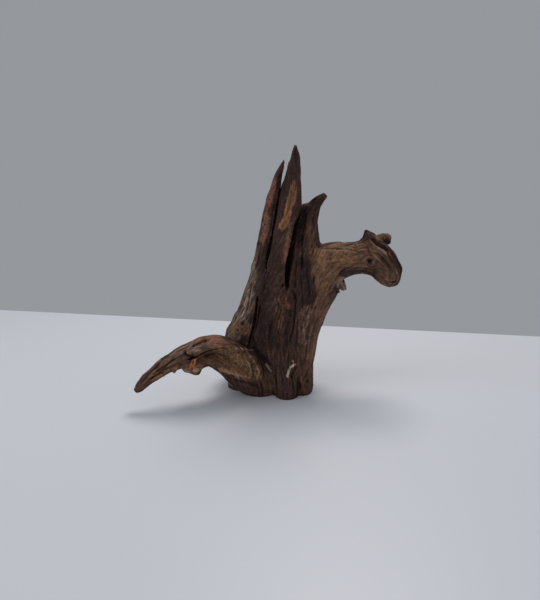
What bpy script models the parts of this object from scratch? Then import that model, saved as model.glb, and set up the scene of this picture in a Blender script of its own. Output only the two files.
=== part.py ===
"""A dry root: one weathered piece of driftwood that stands on its sawn-flat foot.

The wood is a bundle of strands that grew together. Each strand is lofted along its own path, the
strands are fused by a voxel remesh, the deep cracks are cut, and the foot is sawn flat at Z = 0.
Metres, +Z up, +X to the right and +Y to the back, seen from the front. The origin is on the sawn
face, under the middle of the trunk.
"""

import math

import bmesh
import bpy
from mathutils import Vector

MM = 0.001

# Driving dimensions, in metres.
FUSE_VOXEL = 0.0022
FUSE_SMOOTHING = 0.5
FUSE_PASSES = 12
THIN_RATIO = 0.09
LOFT_SIDES = 20
LOFT_STEPS = 5

WOOD_COLOUR = (0.13, 0.075, 0.045, 1.0)
WOOD_ROUGHNESS = 0.85

# Each station is (x, y, z, half width, half depth) in millimetres. The width lies in the front
# view's plane, across the strand, and the depth runs from front to back.
STRANDS = {
    "core": (
        (0, 8, -29, 48, 34),
        (-1, 8, 47, 41, 31),
        (9, 7, 105, 37, 26),
        (21, 5, 153, 31, 21),
        (28, 4, 186, 20, 15),
        (32, 4, 212, 9, 8),
    ),
    "left_spike": (
        (-24, 8, -29, 22, 30),
        (-34, 8, 23, 25, 31),
        (-43, 8, 59, 20.5, 28),
        (-36, 7, 88, 15.5, 26),
        (-27, 5, 114, 12.5, 23),
        (-16, 3, 153, 10.5, 18),
        (-6, 1, 199, 9.5, 14),
        (2, 0, 243, 8.5, 10),
        (10, -1, 276, 5, 6),
        (16, 0, 294, 2.5, 3),
        (17.5, 0, 301, 1.8, 2.2),
    ),
    "left_web": (
        (0, 0, 186, 3, 6),
        (-7, -3, 166, 8, 12),
        (-12, -4, 140, 9, 14),
        (-18, -4, 112, 9, 14),
        (-25, -2, 84, 7, 12),
    ),
    "centre_spike": (
        (16, -2, -24, 24, 34),
        (3, 4, 25, 25, 30),
        (0, 4, 70, 23, 27),
        (4, 0, 120, 19, 23),
        (10, -4, 168, 15, 18),
        (18, -6, 206, 16, 15),
        (24, -6, 240, 15.5, 12),
        (27.5, -5, 275, 11, 8.5),
        (30, -4, 298, 6.5, 5),
        (31, -4, 315, 2, 2),
    ),
    "horn": (
        (38, 0, -25, 21, 34),
        (37, 5, 48, 22, 31),
        (40, 7, 119, 20, 27),
        (45, 9, 170, 18, 22),
        (47, 10, 198, 18, 18),
        (49, 10, 222, 13, 13),
        (56, 8, 240, 9, 9),
        (63, 6, 249, 6.2, 6.5),
        (70, 5, 256.5, 4.8, 5),
    ),
    "horn_shoulder": (
        (40, 9, 196, 12, 12),
        (42, 8, 224, 11, 9),
        (44, 7, 238, 8, 6),
        (43, 6, 245, 4, 4),
    ),
    "right_side": (
        (45, -2, -24, 15, 32),
        (43, 3, 31, 17, 29),
        (49, 6, 82, 20, 27),
        (58, 7, 114, 23, 25),
        (72, 6, 143, 23, 22),
        (90, 5, 164, 14, 18),
        (108, 3, 174, 10, 14),
    ),
    "branch": (
        (48, 3, 92, 16, 24),
        (54, 5, 128, 27, 26),
        (64, 6, 154, 32, 25),
        (82, 5, 169, 28, 22),
        (99, 3, 174, 22, 20),
        (114, 1, 177, 21, 19),
        (129, -1, 178, 23, 17),
        (142, -3, 170, 20, 14),
    ),
    "head": (
        (120, -3, 215, 1.8, 2.5),
        (122, -3, 208, 5.5, 6),
        (128, -4, 198, 11, 10),
        (134.5, -5, 186.5, 16, 14),
        (143.5, -6, 173, 18.8, 15),
        (151, -7, 159, 19, 13),
        (156, -7, 148, 14, 10),
        (159, -7, 140, 6, 6),
    ),
    "head_stub": (
        (134, 5, 198, 5.5, 6),
        (145, 8, 202, 5.8, 6),
        (156, 9, 202.5, 5.2, 5.5),
    ),
    "head_stub_low": (
        (136, 7, 193, 6, 6),
        (147, 10, 195.5, 5, 6),
        (157, 11, 196, 4.4, 5),
    ),
    "nub": (
        (88, 14, 154, 8, 6),
        (96, 15, 139, 7, 5),
        (101, 15, 129, 4, 3.5),
    ),
    "arm_upper": (
        (-6, -13, 2, 17, 19),
        (-14, -20, 22, 15, 20),
        (-25, -26, 41, 13, 19),
        (-39, -33, 56, 12, 17),
        (-53, -38, 69, 11, 15),
        (-65, -42, 76, 10, 14),
        (-79, -47, 76, 11, 13),
        (-95, -52, 70, 12, 12),
        (-112, -58, 61, 12.5, 11),
        (-130, -63, 52, 10.5, 9.5),
        (-146, -68, 40, 8.5, 7.5),
        (-157, -71, 30, 7, 6),
        (-164, -72, 23, 4, 4),
    ),
    "heel": (
        (-36, 0, -16, 21, 20),
        (-38, -6, 10, 21, 19),
        (-41, -16, 28, 18, 16),
        (-46, -23, 41, 12, 12),
    ),
    "arm_middle": (
        (-35, -42, 67, 4, 5),
        (-49, -50, 76, 5, 6),
        (-66, -56, 79, 5, 6),
        (-81, -60, 77, 5, 5.5),
        (-95, -62, 70.5, 5.2, 5),
    ),
    "foot": (
        (-9, -14, -16, 22, 25),
        (-15, -17, 9, 25, 24),
        (-31, -25, 26, 24, 22),
        (-48, -32, 39, 18.5, 17.5),
        (-60, -38, 48, 14, 14),
        (-73, -42, 54, 10, 11.5),
        (-83, -45, 53, 7.5, 9.5),
        (-90.5, -47, 46, 7, 8),
        (-94, -47, 36, 5.6, 6.2),
    ),
    "broken_root": (
        (-92, -51, 68, 9, 8),
        (-100, -52, 54, 7.5, 7),
        (-104.5, -53, 41, 6.2, 6),
    ),
    "centre_toe": (
        (22, -34, -9, 16, 15),
        (21, -33, 10, 15, 14),
        (18, -23, 32, 15, 12),
        (14, -10, 58, 13, 10),
    ),
    "right_toe": (
        (45, -12, -21, 14, 24),
        (44, -12, 8, 14, 24),
        (43, -7, 34, 13, 20),
        (43, 0, 60, 12, 16),
    ),
    "back_left_rib": (
        (-30, 26, -20, 20, 16),
        (-28, 27, 30, 18, 15),
        (-22, 24, 80, 14, 13),
        (-14, 18, 130, 10, 10),
        (-7, 11, 172, 6, 7),
    ),
    "back_right_rib": (
        (28, 28, -20, 21, 16),
        (31, 28, 40, 18, 15),
        (38, 27, 95, 16, 13),
        (52, 25, 135, 14, 11),
        (74, 20, 160, 12, 9),
        (96, 14, 172, 8, 6),
    ),
}

# Drying cracks, each a thin blade that goes into the front of the wood, in the same five values.
CRACKS = {
    "between_spikes": (
        (23, -2, 308, 2.4, 12),
        (19.4, -2, 290, 2, 13),
        (16, -3, 276, 1.6, 14),
        (12.7, -7, 262, 1.3, 12),
        (9, -9, 243, 1.4, 10),
        (5, -12, 219, 1.4, 11),
        (-3, -13, 175, 1.1, 9),
        (-7, -15, 150, 0.5, 4),
    ),
    "low_left": (
        (-13, -13, 137, 0.6, 4),
        (-16, -13, 126, 1.4, 8),
        (-20, -14, 97, 1.9, 11),
        (-28, -18, 66, 1.9, 10),
        (-33, -22, 52, 0.6, 5),
    ),
    "beside_spike": (
        (39, -5, 240, 0.8, 7),
        (36, -10, 229, 2.2, 11),
        (32, -15, 214, 4, 15),
        (27, -16, 191, 4.8, 18),
        (23, -16, 166, 4.4, 17),
        (21.5, -18, 148, 3, 13),
        (22, -18, 137, 1, 6),
    ),
    "under_strand": (
        (-104, -58, 64.5, 0.6, 4),
        (-98, -58, 63.5, 2.2, 8),
        (-91, -57, 64, 2.4, 8),
        (-84.5, -57, 67, 1.7, 8),
        (-78, -56, 70.4, 1.3, 8),
        (-68, -54, 72, 1.2, 7),
        (-58, -51, 72.5, 1, 6),
        (-49, -47, 71, 0.5, 4),
    ),
}

# The sawn foot is everything below Z = 0.
FLOOR_SIDE = 0.6
FLOOR_DEPTH = 0.05


def smooth_station(stations, index, share):
    """A point on the Catmull-Rom curve through the stations, in all five values at once."""
    last = len(stations) - 1
    before, start, end, after = (stations[min(max(index + k, 0), last)] for k in (-1, 0, 1, 2))
    return [
        0.5 * (
            2 * b + (c - a) * share
            + (2 * a - 5 * b + 4 * c - d) * share ** 2
            + (3 * b - a - 3 * c + d) * share ** 3
        )
        for a, b, c, d in zip(before, start, end, after)
    ]


def loft(name, stations):
    """A closed mesh of elliptical rings along the stations' smooth path."""
    path = [
        smooth_station(stations, index, step / LOFT_STEPS)
        for index in range(len(stations) - 1)
        for step in range(LOFT_STEPS)
    ] + [list(stations[-1])]
    centres = [Vector(station[:3]) * MM for station in path]
    shape = bmesh.new()
    rings = []
    for index, (centre, station) in enumerate(zip(centres, path)):
        along = centres[min(index + 1, len(path) - 1)] - centres[max(index - 1, 0)]
        across = along.cross(Vector((0, 1, 0))).normalized() * -1
        deep = along.cross(across).normalized()
        ring = []
        for side in range(LOFT_SIDES):
            turn = 2 * math.pi * side / LOFT_SIDES
            offset = across * math.cos(turn) * station[3] + deep * math.sin(turn) * station[4]
            ring.append(shape.verts.new(centre + offset * MM))
        rings.append(ring)
    for lower, upper in zip(rings, rings[1:]):
        for side in range(LOFT_SIDES):
            following = (side + 1) % LOFT_SIDES
            shape.faces.new((lower[side], lower[following], upper[following], upper[side]))
    shape.faces.new(reversed(rings[0]))
    shape.faces.new(rings[-1])
    bmesh.ops.recalc_face_normals(shape, faces=shape.faces)
    mesh = bpy.data.meshes.new(name)
    shape.to_mesh(mesh)
    shape.free()
    return mesh


def clear_scene():
    for obj in list(bpy.data.objects):
        bpy.data.objects.remove(obj)


def wood_material():
    material = bpy.data.materials.new("dry_wood")
    material.use_nodes = True
    surface = material.node_tree.nodes["Principled BSDF"]
    surface.inputs["Base Color"].default_value = WOOD_COLOUR
    surface.inputs["Roughness"].default_value = WOOD_ROUGHNESS
    return material


def new_collection(name):
    collection = bpy.data.collections.new(name)
    bpy.context.scene.collection.children.link(collection)
    return collection


def bundle(name, paths):
    """One mesh that holds a loft for every path, still as separate closed shells."""
    shells = bmesh.new()
    for path_name, stations in paths.items():
        shell = loft(path_name, stations)
        shells.from_mesh(shell)
        bpy.data.meshes.remove(shell)
    mesh = bpy.data.meshes.new(name)
    shells.to_mesh(mesh)
    shells.free()
    return mesh


def floor_block(name):
    block = bmesh.new()
    bmesh.ops.create_cube(block, size=1)
    bmesh.ops.scale(block, verts=block.verts, vec=(FLOOR_SIDE, FLOOR_SIDE, FLOOR_DEPTH))
    bmesh.ops.translate(block, verts=block.verts, vec=(0, 0, -FLOOR_DEPTH / 2))
    mesh = bpy.data.meshes.new(name)
    block.to_mesh(mesh)
    block.free()
    return mesh


def cut(root, cutters, name, mesh):
    cutter = bpy.data.objects.new(name, mesh)
    cutter.hide_render = True
    cutter.display_type = "WIRE"
    cutters.objects.link(cutter)
    boolean = root.modifiers.new(name, "BOOLEAN")
    boolean.operation = "DIFFERENCE"
    boolean.solver = "EXACT"
    boolean.object = cutter


def main():
    clear_scene()
    parts = new_collection("dry_root")
    cutters = new_collection("cutters")
    root = bpy.data.objects.new("dry_root", bundle("dry_root", STRANDS))
    parts.objects.link(root)
    root.data.materials.append(wood_material())
    fuse = root.modifiers.new("fuse", "REMESH")
    fuse.mode = "VOXEL"
    fuse.voxel_size = FUSE_VOXEL
    soften = root.modifiers.new("soften", "SMOOTH")
    soften.factor = FUSE_SMOOTHING
    soften.iterations = FUSE_PASSES
    thin = root.modifiers.new("thin", "DECIMATE")
    thin.ratio = THIN_RATIO
    cut(root, cutters, "crack_cut", bundle("crack_cut", CRACKS))
    cut(root, cutters, "floor_cut", floor_block("floor_cut"))


main()
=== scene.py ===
"""Looks of the dry root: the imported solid, carved, grained and coloured as old dry wood.

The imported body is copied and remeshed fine. The grain is worked out from the body itself: it runs from
the foot to the tips like a flow, round the knots. Streaks of noise are drawn out along it, and they
carve the ridges and steer the colours. Cracks, ridges and knots are strokes laid on the surface. Their
places are percentages of the CAD box, across and up, as seen from one side.
"""

import math

import bmesh
import bpy
import numpy as np
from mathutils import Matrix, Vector
from mathutils.bvhtree import BVHTree
from mathutils.kdtree import KDTree


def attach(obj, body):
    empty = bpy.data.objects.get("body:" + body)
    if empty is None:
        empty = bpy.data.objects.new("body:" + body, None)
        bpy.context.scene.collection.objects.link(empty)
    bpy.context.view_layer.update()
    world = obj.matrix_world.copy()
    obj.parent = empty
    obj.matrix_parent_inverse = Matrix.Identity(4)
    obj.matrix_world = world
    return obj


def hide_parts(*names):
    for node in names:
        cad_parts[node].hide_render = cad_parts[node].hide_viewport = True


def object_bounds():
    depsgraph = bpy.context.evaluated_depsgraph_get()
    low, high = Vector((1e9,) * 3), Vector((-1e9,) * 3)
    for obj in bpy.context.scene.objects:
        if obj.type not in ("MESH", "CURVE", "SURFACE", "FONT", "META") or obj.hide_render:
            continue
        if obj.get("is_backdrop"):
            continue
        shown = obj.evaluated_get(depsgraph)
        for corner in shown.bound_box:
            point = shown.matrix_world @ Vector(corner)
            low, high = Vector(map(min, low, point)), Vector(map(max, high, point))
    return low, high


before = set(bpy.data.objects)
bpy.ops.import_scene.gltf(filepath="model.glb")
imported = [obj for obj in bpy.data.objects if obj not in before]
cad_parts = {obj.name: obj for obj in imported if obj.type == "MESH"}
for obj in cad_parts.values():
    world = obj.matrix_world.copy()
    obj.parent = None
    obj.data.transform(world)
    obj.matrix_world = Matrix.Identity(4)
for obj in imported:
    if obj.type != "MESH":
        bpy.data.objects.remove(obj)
CAD_LOW, CAD_HIGH = (np.array(corner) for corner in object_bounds())
CAD_SIZE = CAD_HIGH - CAD_LOW

MM = 0.001

# Mesh sizes.
FINE_VOXEL = 0.9 * MM
FLOW_VOXEL = 3.0 * MM
MOST_TRIANGLES = 196000

# The grain is followed this far each way from every point.
GRAIN_STEP = 1.2 * MM
GRAIN_STEPS = 40

# The grain ends at the tips, in percent of the box: the top of the tall spike, of the left spike and of
# the horn, the arm's left end, and the low right end of the head.
TALL_TIP_HEIGHT = 99
LEFT_TIP_HEIGHT, LEFT_TIP_WIDTH = 93.5, 55.5
HORN_TIP_HEIGHT, HORN_TIP_WIDTH = 80, 67.5
ARM_TIP_WIDTH = 2
HEAD_TIP_HEIGHT, HEAD_TIP_WIDTH = 48, 93

# How far the grain wavers, over what size, and how strongly a knot turns it aside.
WAVER, WAVER_SIZE = 0.10, 14 * MM
KNOT_TURN, KNOT_REACH = 0.95, 2.2

# Noise drawn out along the grain: the noise's size, its seed, and the steps each way.
STREAKS = {
    "fine": (0.9 * MM, 1, 9),
    "medium": (2.0 * MM, 2, 22),
    "broad": (5.0 * MM, 3, GRAIN_STEPS),
    "mottle": (1.6 * MM, 4, 3),
}

# Drying cracks along the grain: seed, share of points that start one, and the steps each way.
SHORT_CRACKS = (11, 0.0008, 10)
LONG_CRACKS = (12, 0.00018, 30)
SHORT_CRACK_DEPTH = 0.7 * MM
LONG_CRACK_DEPTH = 1.4 * MM
# The share of painted shade laid in the drying cracks.
CRACK_SHADE = 0.4

# Height of the relief that each kind of noise gives. Broad and medium streaks stand proud where their
# noise lies within the ridge level of 0, and sink beyond it.
BROAD_RELIEF = 0.56 * MM
MEDIUM_RELIEF = 0.24 * MM
FINE_RELIEF = 0.11 * MM
MOTTLE_RELIEF = 0.11 * MM
DENT_RELIEF = 1.0 * MM
KNOB_RELIEF = 0.10 * MM
BUMPY_KNOB_RELIEF = 0.14 * MM
RIDGE_LEVEL = 0.6

# Sides that a place can be seen from: the axis that is looked along, and its sign. The look starts this
# far outside the box, in metres.
SIDES = {
    "front": (1, 1),
    "back": (1, -1),
    "left": (0, 1),
    "right": (0, -1),
}
LOOK_FROM = 0.05

# Broken slivers that stand out of the wood, by side: place, direction (mm), foot and tip radius (mm).
SLIVER_SIDES, SLIVER_RINGS = 7, 5
SPLINTERS = {
    "front": (
        # The arm's torn lower edge, and the blunt end of the strand that broke off over the hole.
        ((16, 17.6), (-5, -1, -7), 3.2, 2.4),
        ((12.8, 16), (-6, -1, -6), 3, 2.2),
        ((21.4, 23.2), (-4, -2, -2), 4, 3.4),
        # The thin grey splinter in the fork behind the arm.
        ((39.2, 21.4), (15, 0, -0.8), 1.4, 1),
        # The flake under the branch.
        ((77.2, 45.5), (8, 3, -9), 3.4, 2),
        ((75.8, 43.5), (2, 3, -5), 3, 2),
    ),
    "back": (
        # Two broken ends high on the back.
        ((56, 56), (3, 3, 16), 2.8, 1.6),
        ((60, 69), (-2, 2, 12), 2.6, 1.6),
    ),
}

# Paths that both a stroke and a tone follow.
SCAR = ((58.9, 12.7), (57.6, 12), (56.7, 10.8), (56.2, 9.3))
ARM_FIBRE = ((37, 22.8), (39.1, 22.2), (42.1, 17.8))
FOOT_FIBRE = ((43.3, 16.3), (45.2, 11.8), (44.8, 9.9))
INNER_FIBRE = ((40.8, 17.3), (42.3, 13.7), (41.9, 10.7))
FOOT_RIM = ((31.2, 13.9), (34.7, 11.9), (38.7, 10.7), (42.6, 9.2))
RIGHT_GROOVE = ((65.4, 52.8), (66.2, 47.3), (67.1, 40.8))

# Strokes, by side: path, half width (mm), depth (mm, minus stands proud), painted shade laid in it (0 to
# 1).
STROKES = {
    "front": (
        # The tall middle spike: the sharp edge between its two faces, and the hollow beside it.
        (((59.2, 97.8), (59.6, 90.4), (59.5, 83), (58.3, 75.5), (57.2, 69.5)), 6, -1.6, 0),
        (((57.2, 69.5), (56, 62.9), (55.1, 57), (54.5, 50)), 4, -1.6, 0),
        (((58.2, 86), (56.1, 77.8), (53.6, 69.1)), 5, 1.2, 0),
        (((60.5, 73.4), (59, 69.5), (57.7, 65.1), (57.1, 61)), 4, 2, 0.8),
        (((62, 76), (61.8, 72), (61.2, 67), (60, 60)), 6, 2.4, 0.1),
        (((61.8, 68.7), (61.6, 63.7), (61.5, 57.4), (61.5, 52.3)), 1.2, 2.6, 0.9),
        (((60.5, 72.3), (63.1, 75.4), (66.8, 79.6)), 1.8, -1.4, 0),
        (((67.2, 77.5), (66.2, 71.5), (65.6, 66)), 2.6, 1.2, 0.2),
        (((57.1, 62.8), (56.3, 55.3), (56, 48), (56.7, 44.6)), 2.4, 2, 1),
        (((54, 45.2), (55.2, 46.2), (56.6, 44.6)), 1.3, 2, 1),
        (((59.6, 56), (59.2, 50), (59, 44)), 1.5, 1.4, 0.4),
        # The left spike.
        (((53.5, 89.8), (52.1, 83.8), (50.8, 76.2), (49.7, 68.5), (47.7, 61.9)), 2, 0.8, 0.7),
        (((53, 90.5), (50.7, 83.4), (49.2, 76), (47.8, 70)), 3, -0.8, 0),
        (((47, 66), (45.5, 59), (44, 52)), 1.6, 0.9, 0.3),
        # The trunk's front.
        (((45.2, 41), (45.3, 36.3), (44.3, 30.6), (42.8, 25.1), (41.8, 21)), 2.4, 2.6, 1),
        (((58.2, 44), (59.3, 39.6), (58.9, 33), (58.2, 27.1), (57, 21.4)), 2.4, 2.8, 0.7),
        (((60.2, 33), (60, 27), (59.6, 20)), 1.6, 1.2, 0.2),
        (((63.2, 53.1), (63.9, 47.2), (64.8, 40.4)), 1.2, 1.3, 0.4),
        (RIGHT_GROOVE, 1.2, 1.1, 0.3),
        (((61.2, 50), (61.8, 42), (62.2, 34)), 1.4, 1.4, 0.4),
        (((52.2, 40.1), (53, 38.3), (51.8, 34), (51.4, 30)), 2.2, 1.2, 0.2),
        (((49, 56), (48.2, 47), (47.8, 38)), 3, -1, 0),
        (((50, 30), (49.5, 23), (50, 17)), 5, 1.6, 0.1),
        (((41.3, 44), (39.5, 35.7), (38.3, 31.9)), 2.2, -1.4, 0),
        (((42.5, 47), (41.2, 39), (40, 33)), 1.4, 1.2, 0.4),
        (((70, 45), (69, 38), (67.2, 28), (66.2, 16)), 2, -1.3, 0),
        (((65, 32), (64, 23), (63.6, 15)), 2, 1.2, 0.2),
        # The valley between the trunk and the foot of the arm, the arm's foot, and the toes.
        (((42.4, 19.7), (44.8, 17.1), (48, 13.9), (50.3, 11.9)), 3, 2.2, 0.4),
        (ARM_FIBRE, 1.5, -1.2, 0),
        (FOOT_FIBRE, 1.5, -1.2, 0),
        (INNER_FIBRE, 1.3, -0.9, 0),
        (((44.6, 16.6), (46.2, 14), (47.2, 11), (47.4, 8.5)), 2.2, 1.8, 0.3),
        (((47.4, 13), (49.9, 9.5), (50.7, 7)), 1.4, -1.2, 0),
        (((42.5, 15), (43.2, 12), (43, 9.5)), 1.6, 1.4, 0.2),
        (FOOT_RIM, 2.8, -1.3, 0),
        (((31.8, 10), (36.2, 8.5), (41.8, 6.6), (46.4, 4.2)), 4, 2, 0.15),
        (((51.2, 11), (51.7, 7), (51.9, 4), (52, 0.7)), 3.2, 3.2, 0.5),
        (((60.3, 8), (60.7, 4.5), (60.4, 0.4)), 3, 2.2, 0.35),
        (((60, 12.2), (58.8, 10), (57.8, 8)), 2.6, 2.4, 0.5),
        (SCAR, 1.8, -1.8, 0),
        (((59, 7.5), (59, 6.2), (58.3, 4.7)), 1.4, -1, 0),
        (((62, 7.4), (60.4, 5), (59.8, 2.7)), 1.6, -1.1, 0),
        (((54.5, 9.5), (54, 5.5), (54.5, 2)), 2.4, 0.9, 0.1),
        (((62, 6), (64, 9), (65, 11)), 2, 1.2, 0.2),
        # The arm: the slot on its back, the broken strand over the dark groove, and the torn lower edge.
        (((20.4, 23.8), (22.1, 25.3), (24.2, 26.1), (26.3, 26.6), (28.2, 26.9)), 1.6, 3.6, 1),
        (((20.3, 22.7), (21.8, 21.3), (23, 20.5), (25.1, 21.7), (28.9, 23.6)), 2, 1.6, 0.4),
        (((28.9, 23.6), (32.1, 23.8), (34.5, 23)), 1.6, 1.2, 0.25),
        (((21.7, 23.7), (23.7, 24.8), (26, 25.5), (28.9, 25.7), (32.3, 25.2)), 1.6, -0.7, 0),
        (((6.5, 15), (9.5, 17.4), (13.7, 20.9), (17.9, 23)), 2.2, -1.6, 0),
        (((7.8, 14.8), (10.5, 16.9), (14, 19.8), (17.2, 21.7), (19.8, 22.6)), 1.7, 2, 0.25),
        (((6.3, 14.3), (8.8, 15.6), (11.3, 17), (15, 18.8)), 1.9, -1.2, 0),
        (((5.9, 12.9), (8.4, 14.2), (11.3, 15.8)), 1.5, 2.4, 0.7),
        (((10.2, 16), (13, 17.4), (17.2, 19.2)), 1.3, 1, 0.1),
        (((3, 11.2), (6, 15), (9.5, 18.8), (13, 21.8)), 1.5, 0.9, 0.05),
        (((11, 20.5), (15, 23.2), (19, 25.2)), 1.5, 1, 0.15),
        (((18.6, 23), (20, 22.2), (22.2, 21.1)), 3.6, 3.4, 1),
        (((22, 19.6), (21.3, 17.8), (20.7, 15.6)), 3, 1.2, 0),
        (((21.65, 18.6), (21.4, 17.6), (21.1, 16.4)), 1.1, 1.6, 0.6),
        (((20.8, 15.8), (20.6, 13.8)), 1.8, 2, 0.4),
        (((25, 19.6), (29, 20.3), (33, 19)), 1.5, 0.9, 0.3),
        # The branch and its bent head: folds that run down from the ear like a curled leaf.
        (((86.3, 66.3), (86.8, 64.5), (87.8, 62.8), (89.2, 61.4), (90.9, 60), (92.6, 58.3),
          (94, 56.8)), 2.2, -1.3, 0),
        (((87.7, 64.8), (88.9, 63), (90.7, 61.6), (92.6, 60.4), (94.2, 58.8)), 4.2, 3.4, 0.45),
        (((93, 59), (94.8, 57), (96.2, 54.8), (97, 52.2)), 4.2, 2.6, 0.1),
        (((84.9, 63.7), (86.3, 61.9), (87.4, 59.3), (88.8, 57.6), (90.4, 56), (91.8, 54.4), (93.6, 52.5),
          (94.9, 50.8)), 1.8, -0.9, 0),
        (((85.7, 61.5), (86.7, 58.7), (88.3, 56.5), (90.2, 54.8), (92.1, 52.6)), 2.6, 0.8, 0.1),
        (((88.5, 60), (90.5, 58), (92.6, 55.5), (94.3, 53.2)), 1.6, 1, 0.2),
        (((96.6, 52.9), (97.3, 50.7), (97.8, 49.3)), 1.4, -1, 0),
        (((90.5, 64.2), (92.3, 63.3), (93.6, 62.2)), 1.3, -1, 0),
        (((95.5, 46.8), (96.7, 47.2), (97.6, 47.8)), 2, 2.2, 0.8),
        (((93, 47.8), (94.5, 47), (95.5, 47)), 1.3, 1, 0.3),
        (((85.5, 54.6), (86.7, 53.6), (88, 53.8)), 1.4, 1.4, 0.5),
        (((69, 60), (74, 60.4), (79, 60), (83, 59.4)), 2, 1, 0.1),
        (((68, 54), (71, 55.5), (76, 56), (82, 55)), 3, -1, 0),
        (((80.8, 50.9), (83.7, 51.8), (87, 50.9), (89.6, 49.3)), 2, 0.8, 0.3),
    ),
    "back": (
        # Long hollows between the ribs, and a few deep checks.
        (((50, 4), (50.5, 18), (52, 34), (54.5, 48), (56, 60)), 5, 2.6, 0.3),
        (((41, 6), (41.5, 20), (44, 34), (47, 47)), 1.8, 3, 0.9),
        (((60, 10), (61.2, 25), (64, 38)), 1.6, 2.6, 0.8),
        (((56, 30), (56.6, 43), (57, 56)), 1.4, 2.2, 0.8),
        (((36, 5), (37.2, 16), (40, 29)), 3.4, -1.6, 0),
        (((64, 6), (65, 20), (68, 33), (72, 43), (79, 52)), 3, -1.8, 0),
        (((70, 56), (76, 57.5), (82, 58), (87, 57.5)), 2, 1.8, 0.4),
        (((88, 64), (91.5, 59), (94.5, 54), (96, 49)), 3.4, 3, 0.4),
        (((56, 64), (57.5, 76), (58.5, 86)), 3, -1.4, 0),
        (((12, 19), (18, 22.5), (24, 23.8)), 1.8, 2.4, 0.6),
    ),
    "right": (
        (((62, 8), (61, 20), (60, 32)), 2.2, 2.4, 0.5),
        (((76, 6), (75, 18), (74, 30)), 1.8, 1.8, 0.4),
    ),
    "left": (
        (((70, 8), (70, 22), (69, 36)), 2, 2.4, 0.6),
        (((85, 12), (84, 26), (82, 40)), 1.8, 2, 0.5),
    ),
}

# Knots, by side: place, radius (mm), depth of the eye (mm), height of the rim (mm), painted shade in the
# eye (0 to 1).
KNOTS = {
    "front": (
        ((86.9, 55.6), 5.4, 2.6, 1.5, 0.8),
        ((38.6, 29.5), 3.6, 1.6, 0.9, 0.8),
        ((37, 26.8), 3.4, 0.8, 0.9, 0.2),
        ((40, 26.2), 2.6, 0.8, 0.7, 0.3),
        ((81.6, 61.7), 2.6, 0.8, 0.7, 0.5),
        ((20.8, 22), 3.2, 3.5, 0.2, 1),
        ((57.5, 33), 2.4, 0.8, 0.4, 0.3),
        ((64, 6), 3.4, 1, 0.8, 0.3),
        ((56, 45.2), 3.6, 0.4, 1, 0.2),
    ),
    "back": (
        ((47, 33), 6, 2.6, 1.6, 0.7),
        ((62, 47), 4.2, 2, 1, 0.7),
        ((56, 16), 3.4, 1.4, 0.8, 0.6),
        ((83, 54), 3.6, 1.6, 0.8, 0.6),
    ),
    "left": (
        ((78, 30), 4, 2, 1, 0.7),
    ),
    "right": (
        ((70, 42), 3.6, 1.6, 0.8, 0.6),
    ),
}

# Colours (linear) that lie over the dark heart of the wood, from the first laid to the last.
HEART = (0.061, 0.0320, 0.0245)
TONES = {
    "brown": (0.102, 0.054, 0.036),
    "grey": (0.225, 0.155, 0.115),
    "tan": (0.185, 0.098, 0.057),
    "ochre": (0.310, 0.168, 0.090),
    "russet": (0.188, 0.084, 0.056),
    "gold": (0.255, 0.120, 0.058),
    "moss": (0.152, 0.076, 0.038),
    "plum": (0.066, 0.033, 0.027),
    "dark": (0.038, 0.022, 0.018),
    "pale": (0.700, 0.540, 0.420),
    "fresh": (0.720, 0.235, 0.095),
    # This tone is painted shade: near black, laid in cracks, grooves, holes, knot eyes and deep folds.
    "recess_shade": (0.015, 0.0085, 0.007),
}
SMOOTH_TONES = ("recess_shade", "fresh", "pale")

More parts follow.
